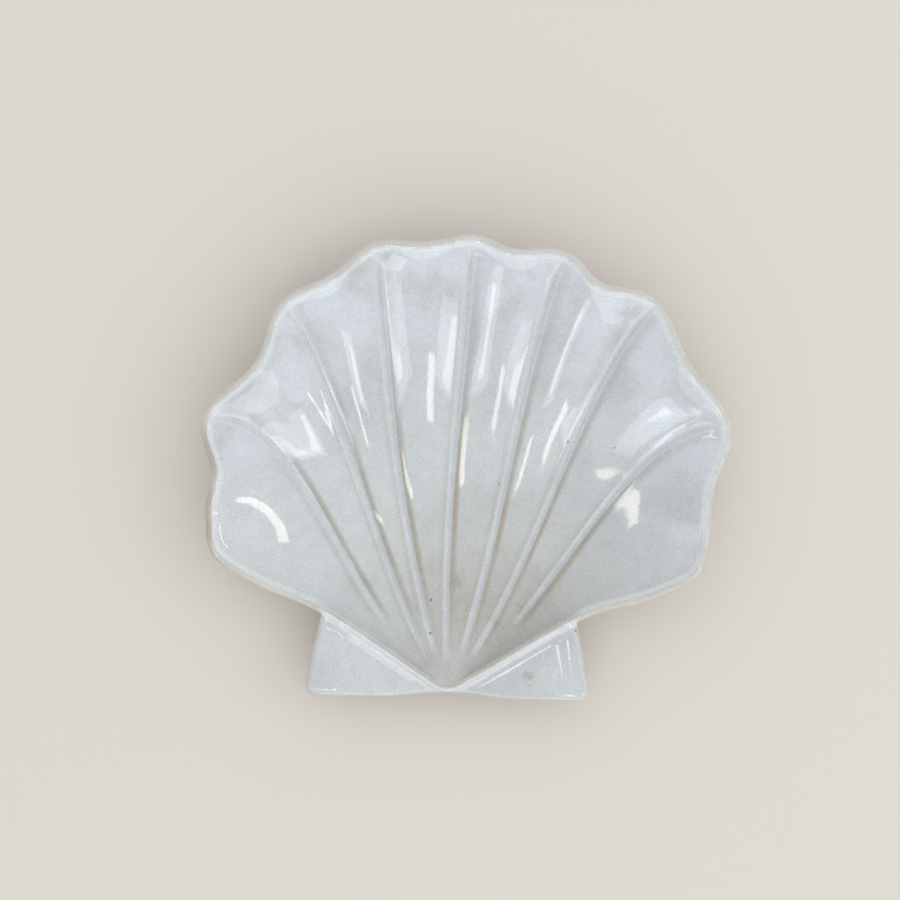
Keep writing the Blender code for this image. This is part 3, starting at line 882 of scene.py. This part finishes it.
# Painted highlight: a light line just inside the inner edge of the lip, where it would catch the windows.
inner_lip_shine = product(fade(rim_mm, -1.8, -0.8), fade_out(rim_mm, 0.3, 0.9), bowl_only, clear_of_ears)
colour = tint(product(inner_lip_shine, 0.6), colour, PAINTED_SHINE)
crest = product(fade(rim_mm, 0.5, 1.0), fade_out(rim_mm, 1.3, 2.1), bowl_only, over_ears)
colour = tint(product(crest, math_node("ADD", product(uneven, 0.35), 0.4)), colour, CREST)
# Over the ears, the crease on the ear is milky with pooled glaze. The lip's rounded face above it takes the same
# light tone as a painted highlight.
sheen_on_lip_roll = product(fade(rim_mm, 1.9, 2.8), fade_out(rim_mm, 5.5, 7.5), bowl_only, over_ears)
seam_on_ear = product(ear, fade_out(seam_mm, 0.3, 2.0))
colour = tint(product(math_node("MAXIMUM", sheen_on_lip_roll, seam_on_ear), 0.9), colour, POOL_AND_SHEEN)

# %% Smudges and pinholes
PINHOLE = linear(104, 88, 70)
SMUDGE = linear(164, 156, 142)
SMUDGES_MM = (
    (-3.1, -53.1, 11.4, 5.0), (14.9, -70.2, 12.5, 4.5), (29.2, -64.8, 11.7, 4.5), (30.9, -94.6, 22.3, 3.0),
)
PINHOLES_MM = ((-14.5, -61.6, 12.8, 0.8), (-14.6, -76.7, 15.3, 0.8), (51.8, -73.3, 24.3, 0.8))


def marks(spots, ragged):
    """Ragged spots at the places given in mm as x, y, z and radius."""
    together = 0.0
    for x, y, z, radius in spots:
        centre = (x * MM, y * MM, z * MM)
        away = node("ShaderNodeVectorMath", {"operation": "DISTANCE"}, s0=place_on_piece, s1=centre).outputs["Value"]
        away = math_node("ADD", away, product(math_node("SUBTRACT", ragged, 0.5), 2.5 * radius * MM))
        together = math_node("MAXIMUM", together, fade_out(away, 0.2 * radius * MM, radius * MM))
    return together


smudges = product(marks(SMUDGES_MM, cloud(420.0, 3.0, 0.7)), math_node("SUBTRACT", 1.0, product(pool, 0.8)))
colour = tint(product(smudges, 0.6), colour, SMUDGE)
holes = marks(PINHOLES_MM, cloud(900.0, 1.0))
colour = tint(product(holes, 0.8), colour, PINHOLE)

# %% Specks, mottle and the bare foot
CLAY = linear(186, 168, 144)
SPECK_SCALE = 190.0
MOTTLE_SCALE = 900.0

specks = node("ShaderNodeTexVoronoi", {"feature": "F1"}, Vector=place_on_piece, Scale=SPECK_SCALE)
few = node("ShaderNodeSeparateColor", Color=specks.outputs["Color"]).outputs[0]
pinholes = product(fade_out(specks.outputs["Distance"], 0.05, 0.13), fade(few, 0.972, 0.976))
colour = tint(product(pinholes, 0.6), colour, PINHOLE)

mottle = math_node("ADD", cloud(MOTTLE_SCALE, 2.0, 0.7), product(cloud(170.0, 2.0), 0.4))
mottle = product(math_node("SUBTRACT", mottle, 0.70), 0.40)
colour = node("ShaderNodeHueSaturation", Color=colour, Value=math_node("ADD", 1.0, mottle)).outputs["Color"]

height = node("ShaderNodeSeparateXYZ", Vector=place_on_piece).outputs["Z"]
bare_edge = math_node("ADD", height, product(math_node("SUBTRACT", cloud(300.0), 0.5), 0.0006))
bare = fade_out(bare_edge, 0.0007, 0.0010)
grit = tint(fade(cloud(700.0, 4.0, 0.7), 0.35, 0.65), CLAY, linear(160, 140, 116))
colour = tint(bare, colour, grit)
tree.links.new(colour, shader.inputs["Base Color"])

# %% Gloss and surface
shader.inputs["IOR"].default_value = 1.55
gloss = math_node("ADD", 0.03, product(fade(cloud(45.0, 3.0), 0.35, 0.7), 0.04))
gloss = math_node("ADD", gloss, product(pinholes, 0.4))
tree.links.new(math_node("ADD", gloss, product(bare, 0.6)), shader.inputs["Roughness"])

run_place = node("ShaderNodeCombineXYZ", X=product(fan_across, 12.0), Y=product(fan_along, 4.0), Z=0.0).outputs[0]
runs = product(cloud(1.0, 2.0, 0.5, run_place), fade(fan_along, 0.45, 0.85), bowl_only)
peel = cloud(380.0, 1.0)
relief = math_node("ADD", product(peel, 0.000004), product(runs, 0.00003))
relief = math_node("ADD", relief, product(cloud(900.0, 2.0), bare, 0.0001))
relief = math_node("SUBTRACT", relief, product(pinholes, 0.0002))
bump = node("ShaderNodeBump", Strength=1.0, Distance=1.0, Height=relief)
tree.links.new(bump.outputs["Normal"], shader.inputs["Normal"])
mesh.materials.append(glaze)
print("glaze:", len(tree.nodes), "nodes")

# %% [markdown]
# ## Floor, light and camera
# The platter lies on a plain pale floor in an evenly lit room. What makes a gloss glaze read as wet is the shape
# of the windows in it, and a small bright window lights little but reflects strongly. So the room and three broad
# soft lamps give the brightness, and nine windows that only glossy rays can see give the reflections. Each light
# is placed by the direction in which it is seen from the dish.

# %% Floor
FLOOR_HALF = 3.0
floor_mesh = bmesh.new()
bmesh.ops.create_grid(floor_mesh, x_segments=1, y_segments=1, size=FLOOR_HALF)
floor = as_object(floor_mesh, "floor")
paint = bpy.data.materials.new("pale_paper")
paint.use_nodes = True
paint.node_tree.nodes["Principled BSDF"].inputs["Base Color"].default_value = linear(222, 216, 208)
paint.node_tree.nodes["Principled BSDF"].inputs["Roughness"].default_value = 0.8
floor.data.materials.append(paint)

# %% Room light
ROOM_STRENGTH = 0.74
world = bpy.data.worlds.new("soft_room")
world.use_nodes = True
world.node_tree.nodes["Background"].inputs["Color"].default_value = (1, 1, 1, 1)
world.node_tree.nodes["Background"].inputs["Strength"].default_value = ROOM_STRENGTH
bpy.context.scene.world = world

# %% Soft lights and windows
LIGHT_DISTANCE = 2.5
WHITE = (1.0, 1.0, 1.0)
CREAM = (1.0, 0.975, 0.87)
SKY = (0.86, 0.93, 1.0)


def area_light(name, bearing, elevation, width, height, brightness, colour, lean=0):
    """A rectangle at a bearing from +Y and an elevation, as wide and high in degrees as it looks from the dish."""
    light = bpy.data.lights.new(name, "AREA")
    light.shape = "RECTANGLE"
    light.size = 2 * LIGHT_DISTANCE * math.tan(math.radians(width) / 2)
    light.size_y = 2 * LIGHT_DISTANCE * math.tan(math.radians(height) / 2)
    light.energy = brightness * math.pi * light.size * light.size_y
    light.color = colour
    made = bpy.data.objects.new(name, light)
    level = math.cos(math.radians(elevation))
    direction = Vector((*(heading(bearing) * level), math.sin(math.radians(elevation))))
    made.location = direction * LIGHT_DISTANCE
    facing = (-direction).to_track_quat("-Z", "Y") @ Quaternion((0, 0, 1), math.radians(lean))
    made.rotation_euler = facing.to_euler()
    bpy.context.scene.collection.objects.link(made)
    return made


area_light("broad_light", 150, 52, 80, 60, 0.5, WHITE).visible_glossy = False
area_light("side_light", 85, 35, 30, 30, 0.8, WHITE).visible_glossy = False
area_light("fill_light", 0, 45, 80, 50, 0.3, WHITE).visible_glossy = False
windows = (
    area_light("cream_window", 164, 70, 3.5, 11, 6.5, CREAM),
    area_light("cream_window_high", -128, 76, 2.2, 8, 6.5, CREAM),
    area_light("cream_window_right", 90, 46, 28, 4, 6.5, CREAM, lean=35),
    area_light("cream_window_left", -69, 46, 1.6, 8, 6.5, CREAM),
    area_light("sky_window_right", 145, 59, 11, 18, 2.4, SKY),
    area_light("sky_window_right_pane", 143, 60, 3.5, 14, 4.0, SKY),
    area_light("sky_window_left", -149, 55, 11, 28, 2.4, SKY),
    area_light("sky_window_left_pane", -147, 56, 3.5, 21, 4.0, SKY),
    area_light("bright_wall", 180, 27, 100, 28, 1.8, SKY),
)
for window in windows:
    window.visible_diffuse = False
print("windows in the gloss:", len(windows))

# %% [markdown]
# ## The view
# The camera looks straight down from a little under a metre, as one photographs a dish on a table, with a long
# lens so that the rim and the floor keep nearly the same scale, and is turned by a degree or so.

# %% Camera
EYE_HEIGHT = 0.886
EYE_PLAN = (-0.0074, 0.0081)
FOCAL_MM = 75.36
SENSOR_MM = 36
LEAN = math.radians(1.4)

camera = bpy.data.cameras.new("camera")
camera.lens = FOCAL_MM
camera.sensor_width = SENSOR_MM
viewer = bpy.data.objects.new("camera", camera)
viewer.location = (*EYE_PLAN, EYE_HEIGHT)
viewer.rotation_euler = (0, 0, LEAN)
bpy.context.scene.collection.objects.link(viewer)
bpy.context.scene.camera = viewer
bpy.context.scene.view_settings.view_transform = "Standard"
